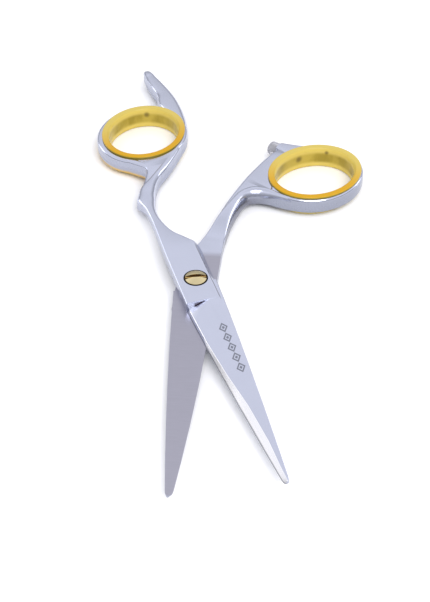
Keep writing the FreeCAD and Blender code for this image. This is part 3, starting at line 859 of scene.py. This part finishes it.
class ShearsFinishes(PropertyGroup):
    """Colours of the shears' materials."""
    steel: FloatVectorProperty(name="Steel", description="Polished stainless steel", subtype="COLOR",
                               default=(0.615, 0.645, 0.775))
    matte: FloatVectorProperty(name="Matte steel", description="Flat inner face of the thumb half",
                               subtype="COLOR", default=(0.43, 0.425, 0.50))
    amber: FloatVectorProperty(name="Amber", description="Near side of the inserts' flanges",
                               subtype="COLOR", default=(0.57, 0.31, 0.006))
    yellow: FloatVectorProperty(name="Yellow", description="Thin parts of the ring inserts", subtype="COLOR",
                                default=(0.68, 0.53, 0.12))
    # olive: painted shade of the steel seen through the inserts' walls, and the flanges' outer line
    olive: FloatVectorProperty(name="Olive", description="Insert wall with steel behind it", subtype="COLOR",
                               default=(0.42, 0.31, 0.03))
    gold: FloatVectorProperty(name="Gold", description="Plated screw head", subtype="COLOR",
                              default=(0.80, 0.68, 0.40))


class ShearsStage(PropertyGroup):
    """The camera's distance, elevation and lens on the stage."""
    distance: FloatProperty(name="Camera distance", description="Camera to the look-at point", unit="LENGTH",
                            default=0.2576)
    elevation: FloatProperty(name="Camera elevation", description="Angle down to the object", subtype="ANGLE",
                             default=math.radians(41.8456))
    lens: FloatProperty(name="Lens", description="Focal length on a 36 mm sensor", default=61.0)


class SHEARS_OT_stage(Operator):
    """Floor, camera, lights and surroundings"""
    bl_idname = "shears.stage"
    bl_label = "Stage"

    def execute(self, context):
        stage = context.scene.shears_stage
        add_camera(context.scene, stage)
        finish = Finish("floor_paper", Roughness=0.9)
        cloud = finish.noise(finish.places(), 0.01)
        finish.feed("Base Color", finish.mix(cloud, (0.93, 0.93, 0.94, 1), (0.96, 0.96, 0.97, 1)))
        signs = np.array([(-1, -1), (1, -1), (1, 1), (-1, 1)])
        corners = np.column_stack([signs * FLOOR_HALF, np.full(4, FLOOR_HEIGHT)])
        floor = mesh_piece("floor", corners, [[0, 1, 2, 3]])
        floor.data.materials.append(finish.material)
        add_surroundings(context.scene)
        for softbox in SOFTBOXES:
            add_softbox(*softbox)
        return {"FINISHED"}


def add_camera(scene, stage):
    """The camera, level from left to right, looking along +Y and down at the look-at point."""
    back = stage.distance * math.cos(stage.elevation)
    up = stage.distance * math.sin(stage.elevation)
    data = bpy.data.cameras.new("camera")
    data.lens = stage.lens
    data.clip_start = 0.01
    camera = bpy.data.objects.new("camera", data)
    camera.location = LOOK_AT + Vector((0.0, -back, up))
    camera.rotation_euler = (math.pi / 2 - stage.elevation, 0.0, 0.0)
    scene.collection.objects.link(camera)
    scene.camera = camera


def add_surroundings(scene):
    """A soft studio: dark towards the horizon, light overhead."""
    world = bpy.data.worlds.new("studio")
    scene.world = world
    world.use_nodes = True
    nodes = world.node_tree.nodes
    links = world.node_tree.links
    where = nodes.new("ShaderNodeTexCoord")
    parts = nodes.new("ShaderNodeSeparateXYZ")
    ramp = nodes.new("ShaderNodeValToRGB")
    links.new(where.outputs["Generated"], parts.inputs[0])
    links.new(parts.outputs["Z"], ramp.inputs[0])
    links.new(ramp.outputs[0], nodes["Background"].inputs["Color"])
    elements = ramp.color_ramp.elements
    while len(elements) < len(SKY_STOPS):
        elements.new(0.5)
    for element, (place, light) in zip(elements, SKY_STOPS):
        element.position = place
        element.color = (light, light, light * 1.04, 1.0)
    nodes["Background"].inputs["Strength"].default_value = 1.0


def add_softbox(name, place, size, power):
    """A square light that faces the pivot."""
    data = bpy.data.lights.new(name, "AREA")
    data.size = size
    data.energy = power
    light = bpy.data.objects.new(name, data)
    light.location = place
    light.rotation_euler = (-Vector(place)).to_track_quat("-Z", "Y").to_euler()
    bpy.context.scene.collection.objects.link(light)


class SHEARS_PT_panel(Panel):
    """The shears' operators, sizes and colours"""
    bl_idname = "SHEARS_PT_panel"
    bl_label = "Hair Cutting Shears"
    bl_space_type = "VIEW_3D"
    bl_region_type = "UI"
    bl_category = "Shears"

    def draw(self, context):
        for operator in OPERATORS:
            self.layout.operator(operator.bl_idname)
        for settings in (context.scene.shears_finishes, context.scene.shears_stage):
            for name in settings.__annotations__:
                self.layout.prop(settings, name)


OPERATORS = (SHEARS_OT_finger_half, SHEARS_OT_thumb_half, SHEARS_OT_ring_inserts, SHEARS_OT_pivot,
             SHEARS_OT_bumper, SHEARS_OT_stage)
CLASSES = (ShearsFinishes, ShearsStage, *OPERATORS, SHEARS_PT_panel)


def register():
    for cls in CLASSES:
        bpy.utils.register_class(cls)
    bpy.types.Scene.shears_finishes = PointerProperty(type=ShearsFinishes)
    bpy.types.Scene.shears_stage = PointerProperty(type=ShearsStage)


def unregister():
    del bpy.types.Scene.shears_stage
    del bpy.types.Scene.shears_finishes
    for cls in reversed(CLASSES):
        bpy.utils.unregister_class(cls)


def main():
    """Build every piece and the stage."""
    register()
    bpy.context.scene.view_settings.view_transform = "Standard"
    bpy.ops.shears.finger_half()
    bpy.ops.shears.thumb_half()
    bpy.ops.shears.ring_inserts()
    bpy.ops.shears.pivot()
    bpy.ops.shears.bumper()
    bpy.ops.shears.stage()


if __name__ == "__main__":
    main()
